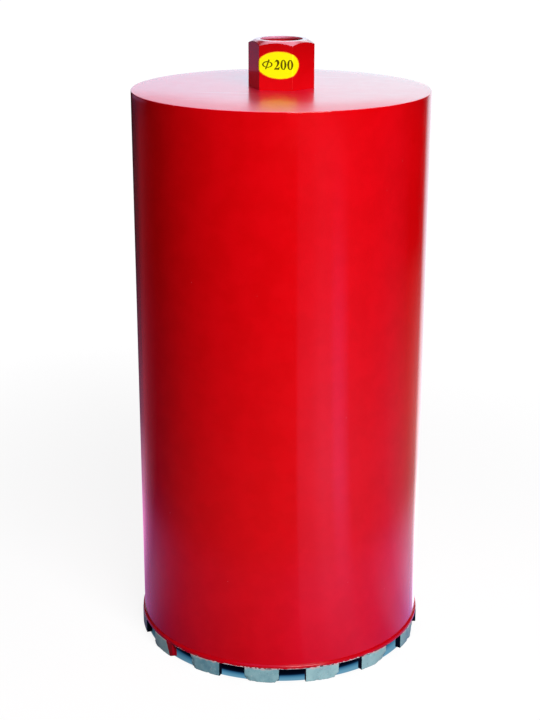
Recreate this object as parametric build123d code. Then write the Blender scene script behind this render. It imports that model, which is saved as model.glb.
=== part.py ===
from build123d import *
import math
import os

# Diamond core bit: a steel barrel, closed by a welded plate with a hexagonal connector, and a
# crown of diamond segments at its foot. Millimetres. The origin is on the axis, level with the
# segments' cutting faces. +Z points up to the connector, and -Y is the side with the size label.

# Crown of segments
cutting_diameter = 200.0    # across the segments: the hole that the bit drills
segment_count = 15
segment_length = 24.0       # along the outer face
segment_height = 10.0
segment_thickness = 4.0     # the width of the kerf
segment_edge_bevel = 0.4
crown_turn = 3.4            # degrees, from the label's side round to the first segment

# Ring that carries the segments
ring_set_back = 0.25        # the segments stand proud of the ring by this much
ring_floor = 1.2            # steel between the segments and the tube's end
ring_side_height = 2.0      # the ring's upright side, below its sloping shoulder
ring_lip_land = 0.2         # flat left at the top of the shoulder

# Barrel
barrel_set_back = 1.5       # the tube stands this far inside the drilled hole
barrel_wall = 2.2
barrel_length = 370.0       # ring and tube together

# Plate at the top of the barrel
plate_thickness = 5.0       # at its rim, above the tube's end
plate_step_depth = 3.0      # the step that seats inside the tube
plate_edge_radius = 0.5
plate_crown = 0.7           # it stands this much higher round the connector than at its rim
plate_crown_land = 4.0      # level margin round the connector's corners

# Weld between plate and tube, ground flush
rim_weld_root = 0.7         # depth of wall that the weld's groove leaves

# Hexagonal connector
hub_across_flats = 38.0
hub_height = 31.0           # above the plate
hub_face_margin = 2.0       # the chamfer starts this far inside the flats
hub_chamfer_angle = 30.0    # degrees from the top face
hub_shoulder = 1.0          # the flats stand this far outside the spigot
bore_diameter = 27.8        # core diameter of the spindle thread
bore_edge = 0.3

# Weld round the connector, under the plate
hub_weld_leg = 4.0
spigot_past_weld = 1.0

# Oval size label, measured flat
label_width = 31.0
label_height = 17.7
label_thickness = 0.15
label_shift = 1.6           # to the right of the face's middle
label_raise = 0.65          # above the middle of the connector's height

seat_clearance = 0.1        # radial, where one turned piece seats in another

# Worked out from the sizes above
cutting_radius = cutting_diameter / 2
ring_radius = cutting_radius - ring_set_back
barrel_radius = cutting_radius - barrel_set_back
barrel_bore_radius = barrel_radius - barrel_wall
segment_angle = math.degrees(segment_length / cutting_radius)
tube_foot = segment_height + ring_floor
tube_top = segment_height + barrel_length
plate_rim = tube_top + plate_thickness
plate_top = plate_rim + plate_crown
plate_underside = tube_top - plate_step_depth
rim_weld_depth = barrel_wall - rim_weld_root
hub_top = plate_top + hub_height
hub_corner_radius = hub_across_flats / math.sqrt(3)
hub_face_radius = hub_across_flats / 2 - hub_face_margin
spigot_radius = hub_across_flats / 2 - hub_shoulder
spigot_foot = plate_underside - hub_weld_leg - spigot_past_weld
bore_radius = bore_diameter / 2
label_middle = plate_top + hub_height / 2 + label_raise


def turned(*corners):
    # A solid turned round the Z axis from a profile of (radius, height) corners.
    outline = Polyline(*[(radius, 0, height) for radius, height in corners], close=True)
    return revolve(make_face(outline), Axis.Z)


def make_barrel_tube():
    # The top edge is bevelled for the rim weld.
    return turned(
        (barrel_bore_radius, tube_foot),
        (barrel_radius, tube_foot),
        (barrel_radius, tube_top - rim_weld_depth),
        (barrel_radius - rim_weld_depth, tube_top),
        (barrel_bore_radius, tube_top),
    )


def make_carrier_ring():
    # The tube's foot stands inside the ring's lip, on its floor, and the shoulder slopes at 45
    # degrees from the ring's side up to the lip's edge.
    lip_radius = barrel_radius + seat_clearance
    lip_edge_radius = lip_radius + ring_lip_land
    side_top = segment_height + ring_side_height
    lip_top = side_top + ring_radius - lip_edge_radius
    return turned(
        (barrel_bore_radius, segment_height),
        (ring_radius, segment_height),
        (ring_radius, side_top),
        (lip_edge_radius, lip_top),
        (lip_radius, lip_top),
        (lip_radius, tube_foot),
        (barrel_bore_radius, tube_foot),
    )


def make_top_plate():
    # The welds have drawn it, so its top falls in a shallow cone from the level land to the rim.
    step_radius = barrel_bore_radius - seat_clearance
    hole_radius = spigot_radius + seat_clearance
    land_radius = hub_corner_radius + plate_crown_land
    disc = turned(
        (hole_radius, plate_underside),
        (step_radius, plate_underside),
        (step_radius, tube_top),
        (barrel_radius - rim_weld_depth, tube_top),
        (barrel_radius, tube_top + rim_weld_depth),
        (barrel_radius, plate_rim),
        (land_radius, plate_top),
        (hole_radius, plate_top),
    )
    widest = disc.edges().filter_by(GeomType.CIRCLE).group_by(SortBy.RADIUS)[-1]
    return fillet(widest.sort_by(Axis.Z)[-1], plate_edge_radius)


def make_rim_weld():
    # It fills the groove between the tube's bevel and the plate's, flush with the tube.
    return turned(
        (barrel_radius, tube_top - rim_weld_depth),
        (barrel_radius, tube_top + rim_weld_depth),
        (barrel_radius - rim_weld_depth, tube_top),
    )


def make_hub():
    # Hexagon bar with a conical chamfer, which leaves an arc at the top of each flat.
    bar = extrude(RegularPolygon(hub_across_flats / 2, 6, major_radius=False), hub_height)
    bar = Pos(0, 0, plate_top) * bar
    chamfer_drop = (hub_corner_radius - hub_face_radius) * math.tan(math.radians(hub_chamfer_angle))
    cone = turned(
        (0, plate_top),
        (hub_corner_radius, plate_top),
        (hub_corner_radius, hub_top - chamfer_drop),
        (hub_face_radius, hub_top),
        (0, hub_top),
    )
    spigot = turned(
        (0, spigot_foot),
        (spigot_radius, spigot_foot),
        (spigot_radius, plate_top),
        (0, plate_top),
    )
    bore = turned(
        (0, spigot_foot),
        (bore_radius + bore_edge, spigot_foot),
        (bore_radius, spigot_foot + bore_edge),
        (bore_radius, hub_top - bore_edge),
        (bore_radius + bore_edge, hub_top),
        (0, hub_top),
    )
    return (bar & cone) + spigot - bore


def make_hub_weld():
    # A fillet bead in the corner between the plate's underside and the spigot.
    inner_radius = spigot_radius + seat_clearance
    return turned(
        (inner_radius, plate_underside),
        (inner_radius + hub_weld_leg, plate_underside),
        (inner_radius, plate_underside - hub_weld_leg),
    )


def make_size_label():
    # The sticker lies flat on three faces of the hexagon and folds sharply at the corners between
    # them, so each face carries its own stretch of one oval.
    front = Plane(origin=(0, -hub_across_flats / 2, 0), x_dir=(1, 0, 0), z_dir=(0, -1, 0))
    reach = hub_across_flats
    half_width = reach * math.tan(math.radians(30))
    sector = Polygon((0, 0), (-half_width, -reach), (half_width, -reach), align=None)
    sector = extrude(Pos(0, 0, plate_top) * sector, hub_height)
    label = Part()
    for face in (-1, 0, 1):
        along = label_shift - face * hub_corner_radius
        oval = Pos(along, label_middle) * Ellipse(label_width / 2, label_height / 2)
        sheet = extrude(front * oval, label_thickness) & sector
        label += Rot(0, 0, 60 * face) * sheet
    return label


def make_segment(number):
    # A block cut from the kerf's ring, with its upright and lower edges bevelled.
    turn = crown_turn + number * 360 / segment_count - 90
    inner_radius = cutting_radius - segment_thickness
    start = turn - segment_angle / 2
    outline = (
        CenterArc((0, 0), cutting_radius, start, segment_angle),
        CenterArc((0, 0), inner_radius, start, segment_angle),
    )
    ends = (
        Line(outline[0] @ 0, outline[1] @ 0),
        Line(outline[0] @ 1, outline[1] @ 1),
    )
    block = extrude(make_face([*outline, *ends]), segment_height)
    upright = block.edges().filter_by(Axis.Z)
    lower = block.edges().group_by(Axis.Z)[0]
    return chamfer(upright + lower, segment_edge_bevel)


def save(name, piece):
    export_step(piece, os.path.join("parts", name + ".step"))


os.makedirs("parts", exist_ok=True)
save("barrel_tube", make_barrel_tube())
save("carrier_ring", make_carrier_ring())
save("top_plate", make_top_plate())
save("rim_weld", make_rim_weld())
save("hub", make_hub())
save("hub_weld", make_hub_weld())
save("size_label", make_size_label())
for number in range(segment_count):
    save(f"segment_{number + 1:02d}", make_segment(number))
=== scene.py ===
import math
import random

import bmesh
import bpy
from mathutils import Matrix, Vector, noise


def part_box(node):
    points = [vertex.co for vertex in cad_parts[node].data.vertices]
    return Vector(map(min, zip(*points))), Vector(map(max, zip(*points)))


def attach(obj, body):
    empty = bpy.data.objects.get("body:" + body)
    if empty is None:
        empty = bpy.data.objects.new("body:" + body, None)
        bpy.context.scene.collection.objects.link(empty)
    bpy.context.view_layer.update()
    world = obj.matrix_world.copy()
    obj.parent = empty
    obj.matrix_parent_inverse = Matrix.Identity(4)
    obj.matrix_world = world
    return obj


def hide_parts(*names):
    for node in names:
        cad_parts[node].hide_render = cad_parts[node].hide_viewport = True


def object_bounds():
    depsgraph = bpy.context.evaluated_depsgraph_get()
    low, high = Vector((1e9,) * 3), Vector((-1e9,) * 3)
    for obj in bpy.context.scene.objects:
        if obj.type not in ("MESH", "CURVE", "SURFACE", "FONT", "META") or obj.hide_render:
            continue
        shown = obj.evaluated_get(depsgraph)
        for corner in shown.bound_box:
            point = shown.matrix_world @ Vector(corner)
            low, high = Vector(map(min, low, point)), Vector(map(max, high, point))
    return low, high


# Diamond core bit: a red barrel with a welded top plate, a hexagonal connector with a yellow size
# label, and a crown of fifteen segments. Meshes are shaped in millimetres and finished in metres.

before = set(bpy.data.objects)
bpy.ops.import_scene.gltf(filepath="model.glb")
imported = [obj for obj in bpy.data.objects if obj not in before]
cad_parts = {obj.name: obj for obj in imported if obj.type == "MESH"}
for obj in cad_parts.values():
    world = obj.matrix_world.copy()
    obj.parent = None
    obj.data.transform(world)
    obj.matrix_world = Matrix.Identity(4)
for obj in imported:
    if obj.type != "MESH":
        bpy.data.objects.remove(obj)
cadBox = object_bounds()

mm = 0.001
roundSteps = 256  # facets round every turned piece, so that flush pieces line up


def nodeBox(node):
    low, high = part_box(node)
    return low / mm, high / mm


barrelLow, barrelHigh = nodeBox("barrel_tube")
ringLow, ringHigh = nodeBox("carrier_ring")
plateLow, plateHigh = nodeBox("top_plate")
hubLow, hubHigh = nodeBox("hub")
labelLow, labelHigh = nodeBox("size_label")
segmentLow, segmentHigh = nodeBox("segment_01")

barrelRadius = barrelHigh.x
cuttingRadius = -segmentLow.y
segmentHeight = segmentHigh.z
crownTurn = 3.4  # degrees from the label's side round to the first segment
segmentCount = 15


# Mesh helpers

def turnProfile(corners, rims=(), steps=roundSteps):
    # Spins a closed outline of (radius, height) corners about Z, then rounds the rims given as
    # (radius, height, size).
    mesh = bmesh.new()
    loop = [mesh.verts.new((radius, 0, height)) for radius, height in corners]
    edges = [mesh.edges.new(pair) for pair in zip(loop, loop[1:] + loop[:1])]
    bmesh.ops.spin(mesh, geom=loop + edges, cent=(0, 0, 0), axis=(0, 0, 1),
                   angle=2 * math.pi, steps=steps, use_merge=True)
    bmesh.ops.remove_doubles(mesh, verts=mesh.verts, dist=0.0001)
    for radius, height, size in rims:
        roundEdges(mesh, rimEdges(mesh, radius, height), size)
    return mesh


def rimEdges(mesh, radius, height):
    def onRim(vert):
        return abs(vert.co.xy.length - radius) < 0.01 and abs(vert.co.z - height) < 0.01
    return [edge for edge in mesh.edges if onRim(edge.verts[0]) and onRim(edge.verts[1])]


def roundEdges(mesh, edges, size, segments=3):
    bmesh.ops.bevel(mesh, geom=edges, offset=size, offset_type="OFFSET", affect="EDGES",
                    segments=segments, profile=0.5, material=-1)


def turnVerts(mesh, verts, degrees, axis="Z"):
    bmesh.ops.rotate(mesh, verts=verts, cent=(0, 0, 0),
                     matrix=Matrix.Rotation(math.radians(degrees), 3, axis))


def extendLoop(mesh, loop, place):
    # Extrudes a closed loop of edges and moves the new one with place, a function of a point.
    made = bmesh.ops.extrude_edge_only(mesh, edges=loop)["geom"]
    verts = {item for item in made if isinstance(item, bmesh.types.BMVert)}
    for vert in verts:
        vert.co = place(vert.co)
    return [item for item in made
            if isinstance(item, bmesh.types.BMEdge) and set(item.verts) <= verts]


def addObject(name, data):
    made = bpy.data.objects.new(name, data)
    bpy.context.scene.collection.objects.link(made)
    return made


def finishPiece(mesh, name, material, nodes=(), sharp=35, even=True, second=None):
    bmesh.ops.remove_doubles(mesh, verts=mesh.verts, dist=0.0001)
    bmesh.ops.recalc_face_normals(mesh, faces=mesh.faces)
    bmesh.ops.scale(mesh, vec=(mm, mm, mm), verts=mesh.verts)
    data = bpy.data.meshes.new(name)
    mesh.to_mesh(data)
    mesh.free()
    data.materials.append(material)
    if second:
        data.materials.append(second)
    data.shade_smooth()
    data.set_sharp_from_angle(angle=math.radians(sharp))
    piece = addObject(name, data)
    if even:
        shading = piece.modifiers.new("Even shading", "WEIGHTED_NORMAL")
        shading.keep_sharp = True
    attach(piece, "root")
    if nodes:
        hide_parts(*nodes)
    print("made", name, "with", len(data.polygons), "faces")


# Material helpers

def startMaterial(name):
    # Returns a material, its tree and the socket with a point's place.
    material = bpy.data.materials.new(name)
    material.use_nodes = True
    tree = material.node_tree
    tree.nodes.clear()
    return material, tree, addNode(tree, "TexCoord").outputs["Object"]


def addNode(tree, kind, inputs=None, **settings):
    # Adds a shader node. An input that is a socket is linked, and any other is set.
    node = tree.nodes.new("ShaderNode" + kind)
    for name, value in settings.items():
        setattr(node, name, value)
    for key, value in (inputs or {}).items():
        if isinstance(value, bpy.types.NodeSocket):
            tree.links.new(value, node.inputs[key])
        else:
            node.inputs[key].default_value = value
    return node


def calc(tree, operation, *values, clamp=False):
    node = addNode(tree, "Math", dict(enumerate(values)), operation=operation, use_clamp=clamp)
    return node.outputs[0]


def fade(tree, value, start, end, low=0.0, high=1.0):
    # Runs smoothly from low at start to high at end.
    inputs = {"Value": value, "From Min": start, "From Max": end, "To Min": low, "To Max": high}
    return addNode(tree, "MapRange", inputs, interpolation_type="SMOOTHSTEP").outputs[0]


def rampNode(tree, value, stops):
    node = addNode(tree, "ValToRGB", {"Fac": value})
    elements = node.color_ramp.elements
    while len(elements) < len(stops):
        elements.new(0.5)
    for element, (position, colour) in zip(elements, stops):
        element.position = position
    for element, (position, colour) in zip(elements, stops):
        element.color = (*colour, 1.0)
    return node.outputs["Color"]


def mixColour(tree, share, first, second, blend="MIX"):
    inputs = {0: share}
    for key, value in ((6, first), (7, second)):
        inputs[key] = value if isinstance(value, bpy.types.NodeSocket) else (*value, 1.0)
    return addNode(tree, "Mix", inputs, data_type="RGBA", blend_type=blend).outputs[2]


def mixValue(tree, share, first, second):
    return addNode(tree, "Mix", {0: share, 2: first, 3: second}, data_type="FLOAT").outputs[0]


def noiseValue(tree, place, scale, detail=3.0, roughness=0.55, stretch=None):
    if stretch:
        place = addNode(tree, "Mapping", {"Vector": place, "Scale": stretch}).outputs[0]
    inputs = {"Vector": place, "Scale": scale, "Detail": detail, "Roughness": roughness}
    return addNode(tree, "TexNoise", inputs).outputs["Fac"]


def axisPart(tree, place, axis):
    return addNode(tree, "SeparateXYZ", {"Vector": place}).outputs[axis]


def axisRadius(tree, place):
    flat = addNode(tree, "VectorMath", {0: place, 1: (1, 1, 0)}, operation="MULTIPLY").outputs[0]
    return addNode(tree, "VectorMath", {0: flat}, operation="LENGTH").outputs["Value"]


def bumpNormal(tree, height, distance, strength=1.0, normal=None):
    inputs = {"Height": height, "Distance": distance, "Strength": strength}
    if normal:
        inputs["Normal"] = normal
    return addNode(tree, "Bump", inputs).outputs[0]


def addPrincipled(tree, inputs):
    shader = addNode(tree, "BsdfPrincipled", inputs)
    addNode(tree, "OutputMaterial", {"Surface": shader.outputs[0]})


def splitByRay(tree, bounced, mirrored, seen):
    # Picks a shader by the kind of ray: one for reflections, one for the camera, one for the rest.
    rays = addNode(tree, "LightPath")
    shader = addNode(tree, "MixShader", {
        0: rays.outputs["Is Glossy Ray"], 1: bounced.outputs[0], 2: mirrored.outputs[0]})
    return addNode(tree, "MixShader", {
        0: rays.outputs["Is Camera Ray"], 1: shader.outputs[0], 2: seen.outputs[0]})


# Red spray paint over steel

paintSettings = {
    "colour": (0.735, 0.0006, 0.0035),
    "deepColour": (0.69, 0.0004, 0.0025),
    "dustColour": (0.74, 0.30, 0.34),
    "dustFrom": 0.82,
    "roughness": 0.25,
    "roughSpread": 0.02,
    "peel": 0.00002,
    "wave": 0.00025,
    "underGloss": 0.15,
    "coatRoughness": 0.05,
}


def paintLayer(tree, place):
    # Returns the paint's colour, roughness and normal sockets.
    s = paintSettings
    cloud = noiseValue(tree, place, 60, detail=5, roughness=0.6)
    colour = mixColour(tree, fade(tree, cloud, 0.35, 0.65), s["deepColour"], s["colour"])
    dust = noiseValue(tree, place, 420, detail=1)
    speck = fade(tree, dust, s["dustFrom"], s["dustFrom"] + 0.03, 0, 0.6)
    colour = mixColour(tree, speck, colour, s["dustColour"])
    sheen = noiseValue(tree, place, 90, detail=5, roughness=0.6)
    spread = s["roughSpread"]
    roughness = fade(tree, sheen, 0.3, 0.7, s["roughness"] - spread, s["roughness"] + spread)
    peel = noiseValue(tree, place, 380, detail=2)
    wave = noiseValue(tree, place, 14, detail=1)
    normal = bumpNormal(tree, peel, s["peel"])
    normal = bumpNormal(tree, wave, s["wave"], normal=normal)
    return colour, roughness, normal


insideLook = {
    "steel": ((0.16, 0.14, 0.13), (0.23, 0.21, 0.20)),
    "stain": (0.17, 0.08, 0.045),
    "spray": (0.42, 0.015, 0.02),
    "sprayReach": (0.010, 0.050),  # metres above the cutting faces
    "border": (0.0966, 0.0970),    # the radius where the inside ends
    "metallic": 0.8,
    "roughness": 0.5,
}


def makeBarrelPaint():
    # Paint outside, and dull bare steel with red overspray inside the barrel.
    s = insideLook
    material, tree, place = startMaterial("barrelPaint")
    colour, roughness, normal = paintLayer(tree, place)
    outside = fade(tree, axisRadius(tree, place), *s["border"])
    brushed = noiseValue(tree, place, 120, detail=4, stretch=(1, 1, 0.12))
    steel = mixColour(tree, brushed, *s["steel"])
    stain = noiseValue(tree, place, 30, detail=5)
    steel = mixColour(tree, fade(tree, stain, 0.5, 0.75), steel, s["stain"])
    nearFoot = fade(tree, axisPart(tree, place, "Z"), *s["sprayReach"], 0.75, 0.0)
    ragged = fade(tree, noiseValue(tree, place, 60, detail=4), 0.3, 0.8, -0.25, 0.25)
    spray = calc(tree, "ADD", nearFoot, ragged, clamp=True)
    steel = mixColour(tree, spray, steel, s["spray"])
    metal = calc(tree, "MULTIPLY", calc(tree, "SUBTRACT", 1.0, outside),
                 calc(tree, "SUBTRACT", s["metallic"], spray), clamp=True)
    addPrincipled(tree, {
        "Base Color": mixColour(tree, outside, steel, colour), "Metallic": metal,
        "Roughness": mixValue(tree, outside, s["roughness"], roughness), "Normal": normal,
        "Coat Weight": outside, "Coat Roughness": paintSettings["coatRoughness"],
        "Specular IOR Level": paintSettings["underGloss"],
    })
    return material


plateLook = {
    # A lighter, pinker red, as a painted sheen on the plate's top:
    "colour": (0.90, 0.004, 0.06),
    "scuff": (0.80, 0.35, 0.4),
    "scuffRough": 0.11,
    "coatRoughness": 0.14,
    "gloss": 0.45,
    "front": (-0.018, -0.070),     # the label's side begins and is complete here, along Y
    "dullReach": (0.038, 0.078),   # radii over which the coat grows duller there
    "dull": 0.12,
    "thinReach": (0.058, 0.0985),  # and thinner
    "thin": 0.5,
}


def makePlatePaint():
    # The plate's top is far duller than the barrel, with fine scuffs and a few pale streaks.
    s = plateLook
    material, tree, place = startMaterial("platePaint")
    colour, roughness, normal = paintLayer(tree, place)
    streak = noiseValue(tree, place, 22, detail=3, stretch=(0.3, 5, 1))
    patch = noiseValue(tree, place, 10, detail=2)
    scuff = calc(tree, "MULTIPLY", fade(tree, streak, 0.62, 0.72), fade(tree, patch, 0.5, 0.6))
    # Painted sheen: the plate's paint is made lighter and pinker than the barrel's.
    colour = mixColour(tree, 0.7, colour, s["colour"])
    colour = mixColour(tree, calc(tree, "MULTIPLY", scuff, 0.5), colour, s["scuff"])
    radius = axisRadius(tree, place)
    front = fade(tree, axisPart(tree, place, "Y"), *s["front"])
    dull = calc(tree, "MULTIPLY", fade(tree, radius, *s["dullReach"], 0.0, s["dull"]), front)
    thin = calc(tree, "MULTIPLY", fade(tree, radius, *s["thinReach"], 0.0, s["thin"]), front)
    rough = calc(tree, "MAXIMUM", dull, calc(tree, "MULTIPLY", scuff, s["scuffRough"]))
    addPrincipled(tree, {
        "Base Color": colour, "Roughness": calc(tree, "ADD", roughness, 0.15), "Normal": normal,
        "Coat Weight": calc(tree, "SUBTRACT", 1.0, thin),
        "Coat Roughness": calc(tree, "ADD", rough, s["coatRoughness"]),
        "Specular IOR Level": s["gloss"],
    })
    return material


hubLook = {
    # Painted shade, darker towards the connector's top:
    "topShade": (0.03, 0.0, 0.0),
    "topShadeShare": (0.04, 0.24),  # at the connector's foot and top
    # A pale tint for a painted reflection in the bore's mouth:
    "sheen": (0.85, 0.34, 0.50),
    "steel": (0.24, 0.22, 0.21),
    "coatRoughness": 0.08,
    "topGloss": 0.6,
    "turningMarks": 0.00001,
}


def makeHubPaint():
    # Paint on turned hexagon bar, thin inside the bore and missing under the plate.
    s = hubLook
    material, tree, place = startMaterial("hubPaint")
    colour, roughness, normal = paintLayer(tree, place)
    radius = axisRadius(tree, place)
    height = axisPart(tree, place, "Z")
    top = hubHigh.z * mm
    mouth = fade(tree, height, top - 0.014, top - 0.003)
    inBore = fade(tree, radius, 0.01655, 0.0162)
    bare = calc(tree, "MULTIPLY", inBore, calc(tree, "SUBTRACT", 1.0, mouth))
    below = fade(tree, height, plateLow.z * mm + 0.001, plateLow.z * mm)
    bare = calc(tree, "MAXIMUM", bare, below)
    # Painted shade: it darkens towards the top.
    shade = fade(tree, height, plateHigh.z * mm + 0.002, top, *s["topShadeShare"])
    colour = mixColour(tree, shade, colour, s["topShade"])
    # Painted reflection: a pale tint lies on the bore's mouth, stronger on one side.
    paintedReflection = calc(tree, "MULTIPLY", fade(tree, radius, 0.0152, 0.0141),
                  fade(tree, axisPart(tree, place, "X"), 0.006, -0.004, 0.3, 0.9))
    colour = mixColour(tree, paintedReflection, colour, s["sheen"])
    colour = mixColour(tree, bare, colour, s["steel"])
    rings = addNode(tree, "TexWave", {"Vector": place, "Scale": 500, "Distortion": 1.5},
                    wave_type="RINGS", rings_direction="Z").outputs["Fac"]
    onTop = fade(tree, height, top - 0.0006, top - 0.0002)
    normal = bumpNormal(tree, rings, s["turningMarks"], strength=onTop, normal=normal)
    addPrincipled(tree, {
        "Base Color": colour, "Roughness": calc(tree, "ADD", roughness, 0.05), "Normal": normal,
        "Metallic": calc(tree, "MULTIPLY", bare, 0.8),
        "Coat Weight": calc(tree, "SUBTRACT", 1.0, bare, clamp=True),
        "Coat Roughness": s["coatRoughness"],
        "Specular IOR Level": mixValue(tree, onTop, paintSettings["underGloss"], s["topGloss"]),
    })
    return material


ringLook = {
    "shade": (0.10, 0.0, 0.02),
    # Dark steel, and bright steel tinted as a painted reflection:
    "chipsAndSheen": ((0.05, 0.02, 0.035), (0.78, 0.66, 0.72)),
    "chipHeight": (0.0105, 0.0103),
    "rag": 0.0005,
    "inside": (0.16, 0.13, 0.13),
    "bareRoughness": 0.45,
    "coat": 0.7,
}


def makeRingPaint():
    # Paint on the carrier ring, chipped to steel along its lower edge, where the bright lavender of the
    # chips is a painted reflection.
    s = ringLook
    material, tree, place = startMaterial("ringPaint")
    colour, roughness, normal = paintLayer(tree, place)
    rag = noiseValue(tree, place, 210, detail=4, roughness=0.7)
    height = calc(tree, "ADD", axisPart(tree, place, "Z"),
                  fade(tree, rag, 0.25, 0.75, -s["rag"], s["rag"]))
    worn = fade(tree, noiseValue(tree, place, 45, detail=2), 0.42, 0.6, -0.0003, 0.0002)
    # The chipped band, with its painted reflection, reaches highest at the front.
    across = axisPart(tree, place, "X")
    front = calc(tree, "MULTIPLY", fade(tree, across, -0.012, -0.004),
                 fade(tree, across, 0.074, 0.068, 0, 0.0005))
    worn = calc(tree, "ADD", worn, front)
    chippedAndSheen = fade(tree, calc(tree, "SUBTRACT", height, worn), *s["chipHeight"])
    grain = fade(tree, noiseValue(tree, place, 520, detail=2), 0.42, 0.52)
    inside = fade(tree, axisRadius(tree, place), 0.0985, 0.0975)
    # Painted shade: the ring's paint is darkened a little all over.
    colour = mixColour(tree, 0.18, colour, s["shade"])
    colour = mixColour(tree, chippedAndSheen, colour, mixColour(tree, grain, *s["chipsAndSheen"]))
    colour = mixColour(tree, inside, colour, s["inside"])
    bare = calc(tree, "MAXIMUM", chippedAndSheen, inside)
    addPrincipled(tree, {
        "Base Color": colour, "Roughness": mixValue(tree, bare, roughness, s["bareRoughness"]),
        "Metallic": calc(tree, "MULTIPLY", inside, 0.7), "Normal": normal,
        "Coat Weight": fade(tree, bare, 0, 1, s["coat"], 0.0),
        "Coat Roughness": paintSettings["coatRoughness"],
        "Specular IOR Level": paintSettings["underGloss"],
    })
    return material


barrelPaint = makeBarrelPaint()
platePaint = makePlatePaint()
hubPaint = makeHubPaint()
ringPaint = makeRingPaint()


# Barrel, plate and the flush weld between them

barrelSettings = {"wall": 2.2, "weldRoot": 0.7, "plateStepGap": 0.1, "plateRim": 0.5,
                  "crown": 0.7, "crownLand": 4.0, "groundWidth": 20.0, "groundDrop": 0.4}
rimWeldDepth = barrelSettings["wall"] - barrelSettings["weldRoot"]


def makeBarrel():
    bore = barrelRadius - barrelSettings["wall"]
    mesh = turnProfile([
        (bore, barrelLow.z),
        (barrelRadius, barrelLow.z),
        (barrelRadius, barrelHigh.z - rimWeldDepth),
        (barrelRadius - rimWeldDepth, barrelHigh.z),
        (bore, barrelHigh.z),
    ])
    finishPiece(mesh, "barrel", barrelPaint, ["barrel_tube"], even=False)


def makeRimWeld():
    mesh = turnProfile([
        (barrelRadius, barrelHigh.z - rimWeldDepth),
        (barrelRadius, barrelHigh.z + rimWeldDepth),
        (barrelRadius - rimWeldDepth, barrelHigh.z),
    ])
    finishPiece(mesh, "rimWeld", barrelPaint, ["rim_weld"], even=False)


def makeTopPlate():
    s = barrelSettings
    step = barrelRadius - s["wall"] - s["plateStepGap"]
    hole = hubSettings["spigotRadius"] + s["plateStepGap"]
    # The top falls in a shallow cone from the land round the connector, and a little more at the
    # rim, where the weld was ground off.
    land = hubCorner + s["crownLand"]
    fallSteps = 8
    ground = []
    for index in range(fallSteps + 1):
        share = 1 - index / fallSteps
        radius = barrelRadius - s["groundWidth"] * (1 - share)
        cone = s["crown"] * (radius - land) / (barrelRadius - land)
        ground.append((radius, plateHigh.z - cone - s["groundDrop"] * share ** 2))
    mesh = turnProfile([
        (hole, plateLow.z),
        (step, plateLow.z),
        (step, barrelHigh.z),
        (barrelRadius - rimWeldDepth, barrelHigh.z),
        (barrelRadius, barrelHigh.z + rimWeldDepth),
        *ground,
        (land, plateHigh.z),
        (hole, plateHigh.z),
    ], rims=[(barrelRadius, ground[0][1], s["plateRim"]), (step, plateLow.z, 0.3)])
    # The plate's side is as glossy as the barrel below it.
    for face in mesh.faces:
        if face.calc_center_median().xy.length > barrelRadius - 0.05:
            face.material_index = 1
    finishPiece(mesh, "topPlate", platePaint, ["top_plate"], second=barrelPaint)


# Hexagonal connector

hubSettings = {
    "cornerRound": 0.2,
    "crestRound": 0.25,  # between the flats and the chamfer
    "faceRound": 0.3,
    "faceMargin": 2.0,
    "chamferAngle": 30,
    "spigotRadius": 18.0,
    "boreRadius": 13.9,
    "boreEdge": 0.3,
    "boreLip": 1.0,
    "threadRoot": 15.9,
    "threadPitch": 25.4 / 7,
    "threadCrest": 0.9,
    "threadBase": 3.17,
    "threadMargin": 0.6,
}
apothem = hubHigh.y
hubCorner = apothem / math.cos(math.radians(30))


def atRadius(radius, height):
    def place(point):
        direction = Vector((point.x, point.y, 0)).normalized() * radius
        return Vector((direction.x, direction.y, height))
    return place


def makeHub():
    s = hubSettings
    faceRadius = apothem - s["faceMargin"]
    slope = math.tan(math.radians(s["chamferAngle"]))
    mesh = bmesh.new()
    made = bmesh.ops.create_circle(mesh, cap_ends=True, segments=6, radius=hubCorner)
    turnVerts(mesh, made["verts"], 30)
    offset = s["cornerRound"] * math.tan(math.radians(30))
    bmesh.ops.bevel(mesh, geom=mesh.verts[:], offset=offset, offset_type="OFFSET",
                    affect="VERTICES", segments=4, profile=0.5, material=-1)
    flats = [edge for edge in mesh.edges if edge.calc_length() > 5]
    bmesh.ops.subdivide_edges(mesh, edges=flats, cuts=15)
    bmesh.ops.delete(mesh, geom=mesh.faces[:], context="FACES_ONLY")
    bmesh.ops.translate(mesh, vec=(0, 0, plateHigh.z), verts=mesh.verts)
    foot = mesh.edges[:]

    def ontoCone(point):
        drop = (point.xy.length - faceRadius) * slope
        return Vector((point.x, point.y, hubHigh.z - drop))

    crest = extendLoop(mesh, foot, ontoCone)
    face = extendLoop(mesh, crest, atRadius(faceRadius, hubHigh.z))
    bore, root, spigot = s["boreRadius"], s["threadRoot"], s["spigotRadius"]
    lip, edge = s["boreLip"], s["boreEdge"]
    run = root - bore
    loop = face
    for radius, height in [
        (bore + edge, hubHigh.z),
        (bore, hubHigh.z - edge),
        (bore, hubHigh.z - lip),
        (root, hubHigh.z - lip - run),
        (root, hubLow.z + lip + run),
        (bore, hubLow.z + lip),
        (bore, hubLow.z + edge),
        (bore + edge, hubLow.z),
        (spigot - edge, hubLow.z),
        (spigot, hubLow.z + edge),
        (spigot, plateHigh.z),
    ]:
        loop = extendLoop(mesh, loop, atRadius(radius, height))
    bmesh.ops.bridge_loops(mesh, edges=loop + foot)
    roundEdges(mesh, crest, s["crestRound"], segments=2)
    roundEdges(mesh, face, s["faceRound"], segments=2)
    finishPiece(mesh, "hubBody", hubPaint, ["hub"])


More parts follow.
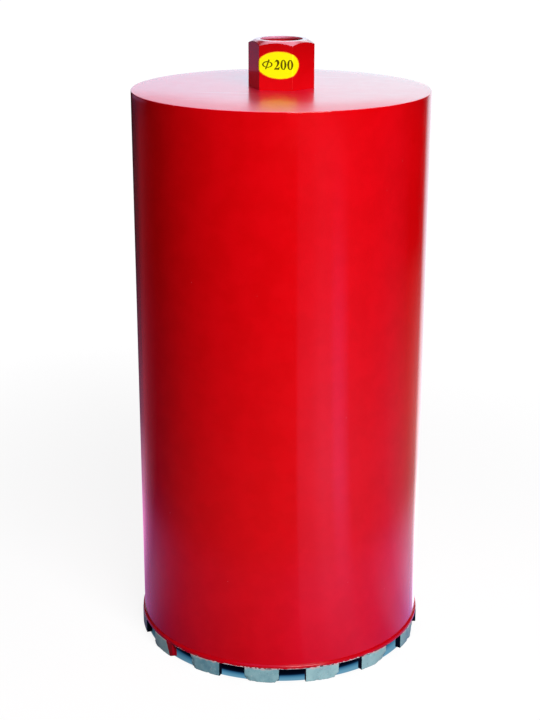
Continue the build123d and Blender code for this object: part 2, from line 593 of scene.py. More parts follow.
def makeSpindleThread():
    # One ridge of 60 degree flanks, wound right-handed, that fades into the bore at both ends.
    s = hubSettings
    stepsPerTurn = 72
    bottom = hubLow.z + s["boreLip"] + s["threadMargin"]
    top = hubHigh.z - s["boreLip"] - s["threadMargin"]
    turns = (top - bottom) / s["threadPitch"] - 0.9
    crest = s["threadCrest"] / 2
    base = s["threadBase"] / 2
    foot = s["threadRoot"] + 0.05  # sunk a little into the wall
    mesh = bmesh.new()
    start = bottom + base
    outline = [
        mesh.verts.new((radius, 0, start + offset))
        for radius, offset in [
            (foot, -base), (s["boreRadius"], -crest), (s["boreRadius"], crest), (foot, base),
        ]
    ]
    edges = [mesh.edges.new(pair) for pair in zip(outline, outline[1:] + outline[:1])]
    steps = int(turns * stepsPerTurn)
    bmesh.ops.spin(mesh, geom=outline + edges, cent=(0, 0, 0), axis=(0, 0, 1),
                   dvec=(0, 0, s["threadPitch"] / stepsPerTurn),
                   angle=2 * math.pi * steps / stepsPerTurn, steps=steps)
    bmesh.ops.holes_fill(mesh, edges=[edge for edge in mesh.edges if edge.is_boundary], sides=4)
    # Along the ridge, a point's own turn tells how near it is to an end.
    for vert in mesh.verts:
        climbed = vert.co.z - start
        fromEnd = min(climbed, steps * s["threadPitch"] / stepsPerTurn - climbed)
        share = max(0.0, min(1.0, (fromEnd + 0.3) / (0.5 * s["threadPitch"])))
        radius = vert.co.xy.length
        vert.co.xy *= (foot - (foot - radius) * share) / radius
    finishPiece(mesh, "spindleThread", hubPaint, sharp=40, even=False)


hubWeldSettings = {
    "leg": 4.0,
    "bulge": [(1, 0), (0.8, 0.3), (0.55, 0.58), (0.27, 0.82), (0, 1)],  # out and down, by leg
    "ripples": 54,
    "rippleHeight": 0.30,
    "steel": [(0.30, (0.10, 0.09, 0.10)), (0.50, (0.24, 0.22, 0.20)), (0.70, (0.19, 0.13, 0.08))],
}


def makeHubWeld():
    # A bead of overlapping ripples under the plate, hidden from the photograph's side.
    s = hubWeldSettings
    inner = hubSettings["spigotRadius"] + barrelSettings["plateStepGap"]
    mesh = turnProfile([(inner, plateLow.z)] + [
        (inner + s["leg"] * out, plateLow.z - s["leg"] * down) for out, down in s["bulge"]
    ], steps=320)
    for vert in mesh.verts:
        offset = vert.co.xy.length - inner
        if offset > 0.2 and vert.co.z < plateLow.z - 0.2:
            turn = math.atan2(vert.co.y, vert.co.x)
            phase = (turn * s["ripples"] / (2 * math.pi) + 0.06 * offset) % 1.0
            swell = s["rippleHeight"] * (phase * (1 - phase) * 4) ** 0.5 - 0.1
            vert.co.xy *= 1 + swell / vert.co.xy.length
            vert.co.z -= swell * 0.7
    material, tree, place = startMaterial("weldSteel")
    heat = noiseValue(tree, place, 70, detail=4)
    addPrincipled(tree, {
        "Base Color": rampNode(tree, heat, s["steel"]), "Metallic": 0.85,
        "Roughness": fade(tree, heat, 0.3, 0.7, 0.32, 0.55),
        "Normal": bumpNormal(tree, noiseValue(tree, place, 700, detail=2), 0.0001),
    })
    finishPiece(mesh, "hubWeld", material, ["hub_weld"], sharp=50, even=False)


# Carrier ring

ringSettings = {"lip": 98.6, "lipEdge": 98.8, "sideTop": 12.0, "floor": 11.2,
                "lowerEdge": 0.35, "shoulderEdge": 0.25}


def makeCarrierRing():
    s = ringSettings
    bore = barrelRadius - barrelSettings["wall"]
    outer = ringHigh.x
    mesh = turnProfile([
        (bore, ringLow.z),
        (outer, ringLow.z),
        (outer, s["sideTop"]),
        (s["lipEdge"], ringHigh.z),
        (s["lip"], ringHigh.z),
        (s["lip"], s["floor"]),
        (bore, s["floor"]),
    ], rims=[(outer, ringLow.z, s["lowerEdge"]), (outer, s["sideTop"], s["shoulderEdge"])])
    finishPiece(mesh, "carrierRing", ringPaint, ["carrier_ring"])


makeBarrel()
makeRimWeld()
makeTopPlate()
makeHub()
makeSpindleThread()
makeHubWeld()
makeCarrierRing()


# Size label, wrapped round two corners of the hexagon

labelSettings = {
    "width": 29.6,
    "thickness": 0.15,
    "shift": 2.2,
    "border": 0.955,
    "yellow": ((0.93, 1.0, 0.0), (0.90, 0.97, 0.0)),
    "borderColour": (0.88, 0.30, 0.01),
    "ink": ((0.095, 0.090, 0.0), (0.15, 0.13, 0.0)),
    "inkLift": 0.02,
    "inkRaise": 0.4,
    "signRing": (6.8, 4.1, 0.85),
    "signCentre": -5.6,
    "signStroke": (0.85, 6.5),
    "signLean": 20,
    "digitHeight": 6.4,
    "twoCentre": 0.6,
    "zeroCentres": (4.85, 9.3),
    "zeroWidth": 3.95,
    "zeroBore": (1.3, 5.3),
}
labelMiddle = (labelLow.z + labelHigh.z) / 2
labelHeight = labelHigh.z - labelLow.z


def wrapOnHub(along, height, lift):
    # Follows the flats and rounded corners, with along measured from the front flat's middle.
    corner = hubSettings["cornerRound"]
    halfFlat = hubCorner / 2 - corner * math.tan(math.radians(30))
    side = 1 if along >= 0 else -1
    rest = abs(along)
    if rest <= halfFlat:
        return Vector((side * rest, -apothem - lift, height))
    turn = min((rest - halfFlat) / corner, math.pi / 3)
    x = halfFlat + (corner + lift) * math.sin(turn)
    y = -(apothem - corner) - (corner + lift) * math.cos(turn)
    past = max(rest - halfFlat - corner * math.pi / 3, 0)
    return Vector((side * (x + past * math.cos(turn)), y + past * math.sin(turn), height))


def makeLabelVinyl():
    s = labelSettings
    material, tree, place = startMaterial("labelVinyl")
    oval = addNode(tree, "UVMap", uv_map="ovalPlace").outputs[0]
    reach = addNode(tree, "VectorMath", {0: oval}, operation="LENGTH").outputs["Value"]
    worn = fade(tree, noiseValue(tree, place, 500, detail=3), 0.3, 0.7, -0.012, 0.012)
    edge = fade(tree, calc(tree, "ADD", reach, worn), s["border"] - 0.01, s["border"] + 0.01)
    tone = noiseValue(tree, place, 90, detail=3)
    yellow = mixColour(tree, fade(tree, tone, 0.3, 0.7), *s["yellow"])
    addPrincipled(tree, {
        "Base Color": mixColour(tree, edge, yellow, s["borderColour"]),
        "Roughness": fade(tree, tone, 0.3, 0.7, 0.34, 0.46),
        "Normal": bumpNormal(tree, noiseValue(tree, place, 260, detail=2), 0.00004),
        "Specular IOR Level": 0.2,
    })
    return material


def makeSizeLabel():
    s = labelSettings
    mesh = bmesh.new()
    bmesh.ops.create_grid(mesh, x_segments=80, y_segments=30, size=1)
    ovalPlace = mesh.loops.layers.uv.new("ovalPlace")
    for vert in mesh.verts:
        x, y = vert.co.x, vert.co.y
        vert.co = (x * math.sqrt(1 - y * y / 2), y * math.sqrt(1 - x * x / 2), 0)
    for face in mesh.faces:
        for corner in face.loops:
            corner[ovalPlace].uv = corner.vert.co.xy
    for vert in mesh.verts:
        vert.co = wrapOnHub(s["shift"] + vert.co.x * s["width"] / 2,
                            labelMiddle + vert.co.y * labelHeight / 2, s["thickness"])
    bmesh.ops.recalc_face_normals(mesh, faces=mesh.faces)
    sample = min(mesh.faces, key=lambda face: abs(face.calc_center_median().x))
    if sample.normal.y > 0:
        bmesh.ops.reverse_faces(mesh, faces=mesh.faces)
    bmesh.ops.solidify(mesh, geom=mesh.faces[:], thickness=s["thickness"] * 0.98)
    finishPiece(mesh, "sizeLabel", makeLabelVinyl(), ["size_label"],
                sharp=50, even=False)


def ovalBand(mesh, width, height, boreWidth, boreHeight):
    rims = []
    for wide, high in ((width, height), (boreWidth, boreHeight)):
        made = bmesh.ops.create_circle(mesh, cap_ends=False, segments=40, radius=0.5)["verts"]
        bmesh.ops.scale(mesh, vec=(wide, high, 1), verts=made)
        rims += list({edge for vert in made for edge in vert.link_edges})
    bmesh.ops.bridge_loops(mesh, edges=rims)


def digitTwo(height):
    # A bold serif two, drawn with a few curve points and filled.
    points = [
        (-1.65, -2.95, "VECTOR"), (1.30, -2.95, "VECTOR"), (1.75, -1.35, "VECTOR"),
        (1.45, -1.35, "VECTOR"), (0.75, -1.85, "AUTO"), (-0.45, -1.85, "VECTOR"),
        (0.75, -0.55, "AUTO"), (1.50, 1.25, "AUTO"), (0.05, 2.95, "AUTO"), (-1.55, 1.35, "VECTOR"),
        (-1.25, 1.30, "VECTOR"), (-0.50, 1.85, "AUTO"), (0.15, 0.90, "AUTO"),
        (-0.35, -0.85, "AUTO"), (-1.65, -2.60, "VECTOR"),
    ]
    curve = bpy.data.curves.new("digitTwo", "CURVE")
    curve.dimensions = "2D"
    curve.fill_mode = "BOTH"
    curve.resolution_u = 6
    spline = curve.splines.new("BEZIER")
    spline.bezier_points.add(len(points) - 1)
    for point, (x, y, handle) in zip(spline.bezier_points, points):
        point.co = (x * height / 5.9, y * height / 5.9, 0)
        point.handle_left_type = handle
        point.handle_right_type = handle
    spline.use_cyclic_u = True
    holder = addObject("digitTwo", curve)
    bpy.context.view_layer.update()
    graph = bpy.context.evaluated_depsgraph_get()
    flat = bpy.data.meshes.new_from_object(holder.evaluated_get(graph))
    bpy.data.objects.remove(holder)
    mesh = bmesh.new()
    mesh.from_mesh(flat)
    bpy.data.meshes.remove(flat)
    return mesh


def standOnLabel(mesh, name, along, material):
    # Gives a flat mark its thickness and stands it up on the label's front.
    s = labelSettings
    bmesh.ops.remove_doubles(mesh, verts=mesh.verts, dist=0.001)
    bmesh.ops.recalc_face_normals(mesh, faces=mesh.faces)
    bmesh.ops.solidify(mesh, geom=mesh.faces[:], thickness=s["inkLift"])
    turnVerts(mesh, mesh.verts, 90, "X")
    nearest = max(vert.co.y for vert in mesh.verts)
    lift = -apothem - s["thickness"] - nearest
    bmesh.ops.translate(mesh, vec=(along, lift, labelMiddle + s["inkRaise"]), verts=mesh.verts)
    finishPiece(mesh, name, material, sharp=50, even=False)


def makeSizeMark():
    # A diameter sign and the size in plain numbers.
    s = labelSettings
    material, tree, place = startMaterial("labelInk")
    tone = noiseValue(tree, place, 600, detail=2)
    addPrincipled(tree, {
        "Base Color": mixColour(tree, fade(tree, tone, 0.35, 0.7), *s["ink"]),
        "Roughness": fade(tree, tone, 0.3, 0.7, 0.4, 0.55),
        "Specular IOR Level": 0.1,
    })

    wide, high, line = s["signRing"]
    sign = bmesh.new()
    ovalBand(sign, wide, high, wide - 2.2 * line, high - 1.2 * line)
    made = bmesh.ops.create_grid(sign, x_segments=1, y_segments=8, size=0.5)["verts"]
    bmesh.ops.scale(sign, vec=(s["signStroke"][0], s["signStroke"][1], 1), verts=made)
    turnVerts(sign, made, -s["signLean"])
    bmesh.ops.translate(sign, vec=(0, 0, 0.004), verts=made)
    standOnLabel(sign, "diameterSign", s["signCentre"], material)

    standOnLabel(digitTwo(s["digitHeight"]), "digit_1", s["twoCentre"], material)
    for index, centre in enumerate(s["zeroCentres"]):
        zero = bmesh.new()
        ovalBand(zero, s["zeroWidth"], s["digitHeight"], *s["zeroBore"])
        standOnLabel(zero, f"digit_{index + 2}", centre, material)


makeSizeLabel()
makeSizeMark()


# Segments

segmentSettings = {
    "length": 24.0,
    "thickness": 4.0,
    "edge": 0.35,
    "cell": 0.8,
    "chipDepth": 0.28,
    "chipFrom": 0.12,    # the level of noise above which an edge is chipped
    "chipReach": 1.2,
    "edgeBand": 0.9,
    "waviness": 0.04,
    "metal": [(0.30, (0.31, 0.57, 0.60)), (0.50, (0.38, 0.66, 0.68)), (0.72, (0.44, 0.71, 0.73))],
    "tint": (0.0, 0.17, 0.31),
    "grit": (0.10, 0.15, 0.17),
    "paleGrit": (0.66, 0.74, 0.74),
    "smear": (0.72, 0.55, 0.55),
    "underside": (0.10, 0.14, 0.16),
    # Painted shade on the ends between the water slots:
    "slotShade": (0.0, 0.006, 0.016),
    "paint": (0.45, 0.002, 0.012),
}

# What is particular to single segments: knocks are (along, height, reach, depth), seen from
# outside, with along to the right of the segment's middle. The tint makes the metal bluer.
segmentMarks = {
    1: {"knocks": [(12, 0, 3.4, 1.3), (-12, 0, 4.4, 1.6), (-6, 0, 3.0, 0.5)], "tint": 0.22},
    2: {"knocks": [(12, 0, 3.6, 1.9), (-4, 0, 1.6, 0.45), (7, 0, 3.0, 0.3)], "tint": 0},
    3: {"knocks": [(-4.5, 10, 2.2, 1.5), (12, 0, 6.0, 2.6), (5, 0, 4.0, 0.9)], "tint": 0.08},
    4: {"knocks": [(12, 5, 3.0, 1.2), (12, 0, 5.0, 2.2), (2, 0, 2.4, 0.6)], "tint": 0.3},
    14: {"knocks": [(12, 0, 2.8, 0.9), (-12, 0, 2.6, 0.6)], "paintFrom": 4.6, "tint": 0},
    15: {"knocks": [(-12, 0, 5.0, 1.6), (-12, 6, 4.0, 1.2), (3, 0, 1.5, 0.35)], "tint": 0.45},
}


def makeSegmentMetal(name, paintFrom=None):
    # Ground sintered metal with diamond grit, smeared with paint along the top edge.
    s = segmentSettings
    material, tree, place = startMaterial(name)
    block = addNode(tree, "Attribute", attribute_name="blockPlace").outputs["Vector"]
    along, up = axisPart(tree, block, "X"), axisPart(tree, block, "Z")
    cloud = noiseValue(tree, place, 130, detail=4)
    tint = addNode(tree, "Attribute", attribute_name="blockTint").outputs["Fac"]
    tint = calc(tree, "MULTIPLY", tint, fade(tree, cloud, 0.35, 0.62, 1.2, 0.85))
    colour = mixColour(tree, tint, rampNode(tree, cloud, s["metal"]), s["tint"])
    grit = noiseValue(tree, place, 900, detail=2)
    colour = mixColour(tree, fade(tree, grit, 0.60, 0.68, 0, 0.3), colour, s["grit"])
    pale = noiseValue(tree, place, 750, detail=1)
    colour = mixColour(tree, fade(tree, pale, 0.66, 0.72, 0, 0.4), colour, s["paleGrit"])
    rag = fade(tree, noiseValue(tree, place, 260, detail=4, roughness=0.7), 0.25, 0.75, -0.9, 0.9)
    height = calc(tree, "ADD", up, rag)
    colour = mixColour(tree, fade(tree, height, 9.6, 9.9, 0, 0.8), colour, s["smear"])
    colour = mixColour(tree, fade(tree, up, 0.35, 0.1, 0, 0.5), colour, s["underside"])
    # Painted shade: the ends between the water slots are darkened.
    ends = fade(tree, calc(tree, "ABSOLUTE", along), 11.55, 11.85)
    colour = mixColour(tree, ends, colour, s["slotShade"])
    if paintFrom is not None:
        lean = calc(tree, "MULTIPLY", calc(tree, "SUBTRACT", segmentHeight, height), 0.45)
        painted = fade(tree, calc(tree, "SUBTRACT", along, lean), paintFrom - 0.4, paintFrom + 0.4)
        colour = mixColour(tree, painted, colour, s["paint"])
    pits = bumpNormal(tree, grit, 0.00012)
    addPrincipled(tree, {
        "Base Color": colour, "Metallic": 0.1,
        "Normal": bumpNormal(tree, cloud, 0.0003, normal=pits),
        "Specular IOR Level": mixValue(tree, ends, 0.25, 0.03),
        "Roughness": fade(tree, cloud, 0.3, 0.7, 0.5, 0.66),
    })
    return material


def cutGrid(mesh, cell, half):
    # Cuts the block into cells along each axis.
    for axis in range(3):
        count = int(round(2 * half[axis] / cell))
        normal = [0, 0, 0]
        normal[axis] = 1
        for index in range(1, count):
            point = [0, 0, 0]
            point[axis] = -half[axis] + 2 * half[axis] * index / count
            geometry = mesh.verts[:] + mesh.edges[:] + mesh.faces[:]
            bmesh.ops.bisect_plane(mesh, geom=geometry, dist=0.0001, plane_co=point,
                                   plane_no=normal)


def makeSegment(number, metal):
    s = segmentSettings
    marks = segmentMarks.get(number, {})
    chance = random.Random(number)
    half = Vector((s["length"] / 2, s["thickness"] / 2, segmentHeight / 2))
    mesh = bmesh.new()
    made = bmesh.ops.create_cube(mesh, size=1)["verts"]
    bmesh.ops.scale(mesh, vec=half * 2, verts=made)
    bottomAndSides = [edge for edge in mesh.edges
                      if edge.verts[0].co.z < 0 or edge.verts[1].co.z < 0]
    roundEdges(mesh, bottomAndSides, s["edge"], segments=2)
    cutGrid(mesh, s["cell"], half)

    knocks = marks.get("knocks") or [
        (chance.uniform(-12, 12), chance.choice((0, 0, 10)), chance.uniform(1.4, 2.8),
         chance.uniform(0.3, 0.8))
        for _ in range(3)]
    seed = Vector((number * 7.3, 1.7, 4.1))
    blockPlace = mesh.verts.layers.float_vector.new("blockPlace")
    blockTint = mesh.verts.layers.float.new("blockTint")
    tint = marks.get("tint", chance.uniform(0, 0.4))
    for vert in mesh.verts:
        vert[blockTint] = tint
        point = vert.co.copy()
        place = Vector((point.x, point.y, point.z + half.z))
        vert[blockPlace] = place
        nearEdge = sorted(half[axis] - abs(point[axis]) for axis in range(3))[1]
        inward = Vector([
            -math.copysign(1, point[axis]) if half[axis] - abs(point[axis]) < s["edgeBand"] else 0
            for axis in range(3)])
        rough = max(0.0, noise.noise(point * 0.9 + seed) - s["chipFrom"])
        chip = rough * 1.6 * s["chipDepth"] * max(0.0, 1 - nearEdge / s["chipReach"])
        move = inward * chip
        move.y += s["waviness"] * noise.noise(point * 0.5 + seed)
        for along, height, reach, depth in knocks:
            away = Vector((point.x - along, (point.y + half.y) * 0.8, place.z - height))
            near = max(0.0, 1 - away.length / reach)
            push = Vector((-math.copysign(0.8, along) if abs(along) > 10 else 0, 0.55,
                           1.0 if height < 1 else (-1.0 if height > 9 else 0)))
            move += push * depth * near * (1 + 0.5 * noise.noise(point * 1.8 + seed))
        # The top stays flat against the ring, unless a knock is there.
        if place.z > segmentHeight - 0.01 and all(knock[1] < 9 for knock in knocks):
            move.z = 0
        vert.co = point + move

    turn = math.radians(crownTurn + (number - 1) * 360 / segmentCount)
    for vert in mesh.verts:
        angle = turn + vert.co.x / cuttingRadius
        radius = cuttingRadius - (vert.co.y + half.y)
        vert.co = (radius * math.sin(angle), -radius * math.cos(angle), vert.co.z + half.z)
    finishPiece(mesh, f"diamondSegment_{number:02d}", metal,
                [f"segment_{number:02d}"], sharp=38, even=False)


segmentMetal = makeSegmentMetal("segmentMetal")
for number in range(1, segmentCount + 1):
    paintFrom = segmentMarks.get(number, {}).get("paintFrom")
    metal = segmentMetal if paintFrom is None else makeSegmentMetal("paintedSegmentMetal", paintFrom)
    makeSegment(number, metal)


# Camera, as the photograph was taken

cameraSettings = {
    "azimuth": 10.3,       # degrees round from the label's side
    "distance": 978.1,     # mm, level, from the axis
    "height": 524.6,
    "pitch": 0.3237,       # radians down
    "roll": 0.0032,
    "focalPixels": 1480.8,
    "imageHeight": 720,
    "shiftPixels": -10.35,
}


def makeCamera():
    s = cameraSettings
    camera = addObject("camera", bpy.data.cameras.new("camera"))
    camera.data.sensor_width = 36
    camera.data.lens = s["focalPixels"] / s["imageHeight"] * camera.data.sensor_width
    camera.data.shift_x = s["shiftPixels"] / s["imageHeight"]
    forward = Vector((0, math.cos(s["pitch"]), -math.sin(s["pitch"])))
    level = Vector((1, 0, 0))
    upright = level.cross(forward)
    right = math.cos(s["roll"]) * level + math.sin(s["roll"]) * upright
    up = -math.sin(s["roll"]) * level + math.cos(s["roll"]) * upright
    pose = Matrix((right, up, -forward)).transposed().to_4x4()
    pose.translation = Vector((0, -s["distance"], s["height"])) * mm
    camera.matrix_world = Matrix.Rotation(math.radians(s["azimuth"]), 4, "Z") @ pose
    bpy.context.scene.camera = camera


# Stage: a pale floor and soft studio light

stageSettings = {
    "floorSize": 12.0,
    "cameraGlow": (0.88, 1.0),   # near the part, and from the second reach outwards
    "glowReach": (0.25, 0.9),
    "cameraPaint": 0.18,
    "footprint": 0.0972,
    "deepShade": 0.085,
    "bouncePaint": (0.70, 0.71, 0.74),
    "bounceUnder": (0.3, 0.3, 0.32),
    "bounceFar": (0.04, 0.04, 0.04),
    "bounceReach": (0.25, 1.0),
    "underPart": [  # the shadow, from under the middle to the footprint's edge
        (0.0, (0.0, 0.001, 0.004)), (0.25, (0.001, 0.003, 0.012)), (0.38, (0.003, 0.014, 0.042)),
        (0.47, (0.018, 0.09, 0.19)), (0.62, (0.045, 0.17, 0.30)), (0.8, (0.085, 0.26, 0.41)),
        (1.0, (0.135, 0.335, 0.485))],
    "underByTurn": [(-80, 0.15), (-65, 0.35), (-45, 0.65), (-25, 0.95), (50, 1), (90, 0.6)],
    "ambient": (0.06, 0.04, 0.05),
    "backAmbient": (0.50, 0.52, 0.55),
    "backdropLeft": (0.97, 1.00, 1.22),
    "backdropRight": (1.04, 1.32, 1.43),
    "backdropUpper": 2.3,        # how many times brighter it is at eye height and above
    "backdropSlopes": (-2.2, 1.5),  # how fast it narrows to the left and right
    "darkRoom": (0.004, 0.004, 0.012),
    "overheadLight": (3.9, 3.2, 4.2),   # a soft patch high up behind
    "overheadPlace": (0, 0.375, 0.927),
    "frontLight": (0.3, 0.18, 0.75),    # a faint one high up in front
    "frontPlace": (0, -0.5, 0.866),
    "patchEdge": (0.87, 0.97),   # the cosines between which both fade
    "keyAzimuth": 21,
    "keyElevation": 30,
    "keyDistance": 1.25,
    "keySize": 0.67,
    "keyLevel": 1.04,
}

# What the floor shows in reflections, as patches of light on a dark table. Each has its colour,
# its level by degrees round from the camera's side to the right, and its level by metres away.
tableLights = [
    {"colour": (0.55, 0.34, 0.74),  # light from the right, which ends at the camera's side
     "around": [(11, 0), (13, 0.45), (22, 0.6), (30, 1), (42, 0.95), (52, 0.42), (66, 0.3),
                (90, 0.28), (115, 0)],
     "away": [(0.12, 0.3), (0.24, 0.65), (0.45, 1), (0.7, 0.75), (1.0, 0.5), (1.4, 0.33),
              (2.1, 0.22), (2.7, 0.02)]},
    {"colour": (0.30, 0.10, 0.50),  # a brighter strip in that light
     "around": [(36, 0), (40, 0.8), (44, 1), (47, 0.8), (52, 0)],
     "away": [(0.2, 0), (0.4, 1), (0.9, 0.8), (1.4, 0.2), (2.0, 0)]},
    {"colour": (0.42, 0.055, 0.33),  # pale paper round the part's foot
     "around": [(-170, 1.0), (-133, 1.0), (-107, 0.85), (-90, 0.8), (-60, 0.4), (-20, 0.3),
                (0, 0.5), (14, 0.9), (60, 1.1), (90, 1.35), (103, 1.15), (124, 0.6), (150, 0)],
     "away": [(0.2, 1), (0.24, 0.9), (0.30, 0.32), (0.36, 0.14), (0.5, 0.08), (0.8, 0.05), (1.2, 0)]},
    {"colour": (0.45, 0.22, 0.34),  # a paler corner behind on the left
     "around": [(-175, 0.3), (-165, 0.6), (-152, 0.9), (-134, 1.3), (-122, 0.5), (-108, 0)],
     "away": [(0.2, 1.1), (0.34, 0.85), (0.46, 0.33), (0.7, 0.18), (1.0, 0.1), (2.1, 0.08),
              (2.4, 0)]},
    {"colour": (0.36, 0.175, 0.37),  # the wall far beyond it
     "around": [(-158, 0), (-150, 1), (-130, 1), (-118, 0)],
     "away": [(2.1, 0), (2.55, 0.08), (2.62, 0.34), (2.70, 0.5), (2.8, 0.6)]},
    {"colour": (0.05, 0.10, 0.11),   # greener mats close to the foot, on the left and right
     "around": [(-135, 0), (-120, 0.8), (-109, 1), (-99, 1), (-89, 0.7), (-78, 0.3), (-68, 0)],
     "away": [(0.1, 1), (0.18, 1), (0.22, 0.6), (0.3, 0)]},
    {"colour": (0.0, 0.17, 0.26),
     "around": [(62, 0), (72, 0.8), (84, 1), (104, 1), (120, 0.6), (135, 0)],
     "away": [(0.1, 1), (0.18, 1), (0.22, 0.6), (0.3, 0)]},
    {"colour": (0.45, 0.0, 0.0),    # red sheets on both sides
     "around": [(-172, 0), (-154, 0), (-142, 0.1), (-133, 0.7), (-119, 0.5), (-100, 0), (100, 0),
                (112, 0.4), (124, 1), (142, 1), (152, 0)],
     "away": [(0.2, 0), (0.5, 0.8), (1.0, 1), (2.2, 1), (2.6, 0)]},
    {"colour": (0.50, 0.50, 0.46),  # the backdrop's soft border on the right
     "around": [(84, 0), (101, 0.3), (112, 0.45), (124, 0.75), (134, 1), (142, 1), (152, 0.2), (156, 0)],
     "away": [(0.15, 1.8), (0.23, 1.7), (0.33, 0.75), (0.46, 0.6), (0.8, 0.3), (1.2, 0)]},
]
# The bright backdrop spreads over the floor behind, right of a line from the part's right side.
backLight = {
    "colour": (1.15, 1.08, 1.20),
    "sideways": 0.105,
    "around": [(-180, 1), (-172, 0.6), (-165, 0), (143, 0), (147, 0.2), (150, 0.6), (153, 0.8),
               (158, 0.95), (165, 1)],
    "away": [(0.1, 1), (3.0, 1.0)],
}


def levelByTurn(tree, around, levels):
    return rampNode(tree, around, [(turn / 360 + 0.5, (level,) * 3) for turn, level in levels])


def lightPatch(tree, patch, around, reach):
    farthest = patch["away"][-1][0]
    byReach = rampNode(tree, calc(tree, "DIVIDE", reach, farthest),
                       [(metres / farthest, (level,) * 3) for metres, level in patch["away"]])
    byTurn = levelByTurn(tree, around, patch["around"])
    level = mixColour(tree, 1.0, byTurn, byReach, blend="MULTIPLY")
    return mixColour(tree, 1.0, level, patch["colour"], blend="MULTIPLY")


def makeFloor():
    s = stageSettings
    mesh = bmesh.new()
    bmesh.ops.create_grid(mesh, x_segments=1, y_segments=1, size=s["floorSize"] / 2)
    data = bpy.data.meshes.new("studioFloor")
    mesh.to_mesh(data)
    mesh.free()
    floor = addObject("studioFloor", data)
    material, tree, place = startMaterial("studioFloor")
    reach = addNode(tree, "VectorMath", {0: place}, operation="LENGTH").outputs["Value"]
    turned = addNode(tree, "Mapping", {
        "Vector": place,
        "Rotation": (0, 0, math.radians(90 - cameraSettings["azimuth"])),
    }).outputs[0]
    around = addNode(tree, "TexGradient", {"Vector": turned}, gradient_type="RADIAL").outputs["Fac"]

    # The camera sees a white floor, with a painted shadow under the part that goes blue and then black.
    outside = fade(tree, reach, s["footprint"] - 0.0004, s["footprint"] + 0.0004)
    glow = addNode(tree, "Emission", {"Strength": calc(
        tree, "MULTIPLY", outside, fade(tree, reach, *s["glowReach"], *s["cameraGlow"]))})
    paler = calc(tree, "ADD", fade(tree, reach, s["deepShade"], s["footprint"]),
                 fade(tree, around, 0.45, 0.58, 0.0, 0.12))
    shade = mixColour(tree, 1.0, rampNode(tree, paler, s["underPart"]),
                      levelByTurn(tree, around, s["underByTurn"]), blend="MULTIPLY")
    under = addNode(tree, "Emission", {
        "Color": shade, "Strength": calc(tree, "SUBTRACT", 1.0, outside)})
    pale = addNode(tree, "BsdfDiffuse", {
        "Color": rampNode(tree, outside, [(0.0, (0, 0, 0)), (1.0, (s["cameraPaint"],) * 3)])})
    seen = addNode(tree, "AddShader", {0: glow.outputs[0], 1: pale.outputs[0]})
    seen = addNode(tree, "AddShader", {0: seen.outputs[0], 1: under.outputs[0]})
    # For the light that it throws back, it is pale near the part and dark further off.
    bounce = mixColour(tree, fade(tree, reach, 0.10, 0.20), s["bounceUnder"], s["bouncePaint"])
    bounce = mixColour(tree, fade(tree, reach, *s["bounceReach"]), bounce, s["bounceFar"])
    beside = addNode(tree, "VectorMath", {0: turned, 1: (0, backLight["sideways"], 0)},
                     operation="SUBTRACT").outputs[0]
    aside = addNode(tree, "TexGradient", {"Vector": beside}, gradient_type="RADIAL").outputs["Fac"]
    table = lightPatch(tree, backLight, aside, reach)
    for patch in tableLights:
        table = mixColour(tree, 1.0, table, lightPatch(tree, patch, around, reach), blend="ADD")
    mirrored = addNode(tree, "Emission", {"Color": table, "Strength": 1.0})

    bounced = addNode(tree, "BsdfDiffuse", {"Color": bounce})
    shader = splitByRay(tree, bounced, mirrored, seen)
    addNode(tree, "OutputMaterial", {"Surface": shader.outputs[0]})
    data.materials.append(material)


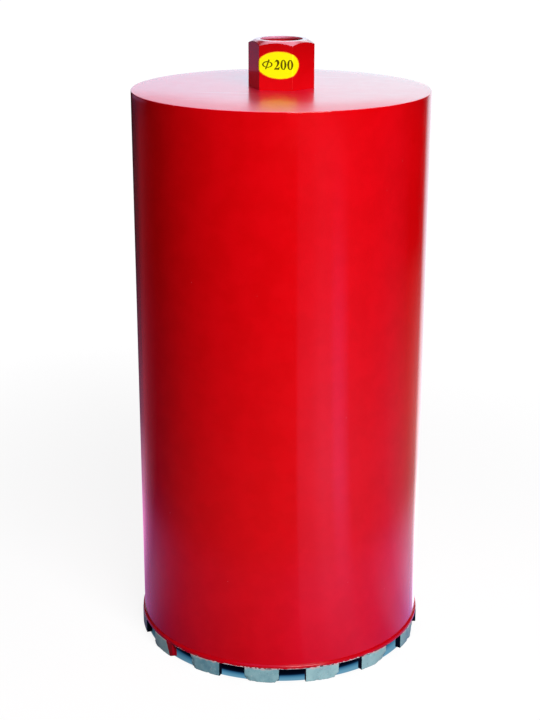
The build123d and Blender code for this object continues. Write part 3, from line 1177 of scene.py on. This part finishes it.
def makeWorld():
    s = stageSettings
    world = bpy.data.worlds.new("studio")
    bpy.context.scene.world = world
    world.use_nodes = True
    tree = world.node_tree
    tree.nodes.clear()
    direction = addNode(tree, "TexCoord").outputs["Generated"]
    # Reflections find the bright backdrop behind the part, in a wedge that opens away from the
    # camera, two soft lights above it, and a dark room elsewhere.
    turned = addNode(tree, "Mapping", {
        "Vector": direction,
        "Rotation": (0, 0, -math.radians(cameraSettings["azimuth"])),
    }).outputs[0]
    across, ahead, up = (axisPart(tree, turned, axis) for axis in "XYZ")
    aside = calc(tree, "MAXIMUM", *(calc(tree, "MULTIPLY", across, slope)
                                    for slope in s["backdropSlopes"]))
    wedge = fade(tree, calc(tree, "SUBTRACT", ahead, aside), 0.0, 0.25)
    level = calc(tree, "MULTIPLY", wedge, fade(tree, up, 0.60, 0.85, 1.0, 0.1))
    level = calc(tree, "MULTIPLY", level, fade(tree, up, 0.30, 0.50, 1.0, s["backdropUpper"]))
    backdrop = mixColour(tree, fade(tree, across, -0.12, 0.1), s["backdropLeft"], s["backdropRight"])
    backdrop = addNode(tree, "VectorMath", {0: backdrop, "Scale": level}, operation="SCALE")
    walls = mixColour(tree, 1.0, backdrop.outputs[0], s["darkRoom"], blend="ADD")
    for colour, middle in ((s["overheadLight"], s["overheadPlace"]),
                           (s["frontLight"], s["frontPlace"])):
        nearness = addNode(tree, "VectorMath", {0: turned, 1: middle}, operation="DOT_PRODUCT")
        share = fade(tree, nearness.outputs["Value"], *s["patchEdge"])
        walls = mixColour(tree, share, walls, colour)
    mirrored = addNode(tree, "Background", {"Color": walls})
    ambient = addNode(tree, "Background", {"Color": mixColour(
        tree, fade(tree, ahead, 0.1, 0.8), s["ambient"], s["backAmbient"])})
    white = addNode(tree, "Background", {"Color": (1, 1, 1, 1)})
    shader = splitByRay(tree, ambient, mirrored, white)
    addNode(tree, "OutputWorld", {"Surface": shader.outputs[0]})


def makeKeyLight():
    s = stageSettings
    data = bpy.data.lights.new("keyLight", "AREA")
    data.size = s["keySize"]
    # A lamp of this power gives the set level at the part's middle.
    data.energy = s["keyLevel"] * math.pi ** 2 * s["keyDistance"] ** 2
    lamp = addObject("keyLight", data)
    azimuth = math.radians(cameraSettings["azimuth"] + s["keyAzimuth"])
    elevation = math.radians(s["keyElevation"])
    towards = Vector((math.sin(azimuth) * math.cos(elevation),
                      -math.cos(azimuth) * math.cos(elevation), math.sin(elevation)))
    middle = (cadBox[0] + cadBox[1]) / 2
    lamp.location = middle + towards * s["keyDistance"]
    lamp.rotation_euler = towards.to_track_quat("Z", "Y").to_euler()


makeCamera()
makeFloor()
makeWorld()
makeKeyLight()
bpy.context.scene.view_settings.view_transform = "Standard"

print("part and stage are ready")
